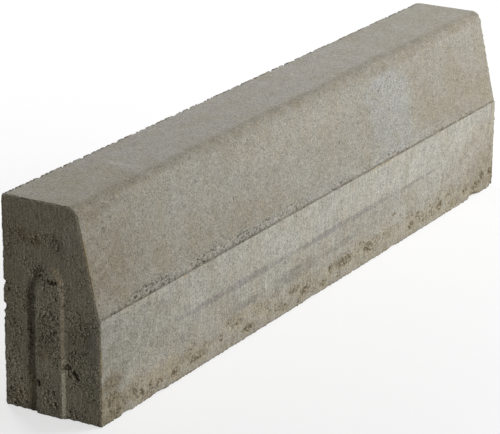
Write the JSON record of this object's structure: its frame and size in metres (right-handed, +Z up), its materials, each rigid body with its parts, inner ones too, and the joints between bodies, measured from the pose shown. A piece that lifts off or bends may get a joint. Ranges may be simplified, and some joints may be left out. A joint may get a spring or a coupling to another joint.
{
  "type": "concrete kerb stone",
  "caption": "Precast concrete kerb stone with a battered upper road face, a rounded top arris, and an arch-topped tongue on one end that seats in the groove of the next kerb.",
  "frame": {"origin": "centre of the bed face, halfway between the two end faces and between the upright road face and the back face", "axes": "+X along the kerb from the tongue end to the groove end, the road face looks to -Y and the back face to +Y, +Z up from the bed to the top"},
  "size_m": [1.005, 0.13, 0.25],
  "materials": {
    "concrete": "dry-pressed grey concrete, matt, fine sandy texture with small pits"
  },
  "bodies": {
    "root": {"kerb_stone": "concrete"}
  },
  "joints": []
}
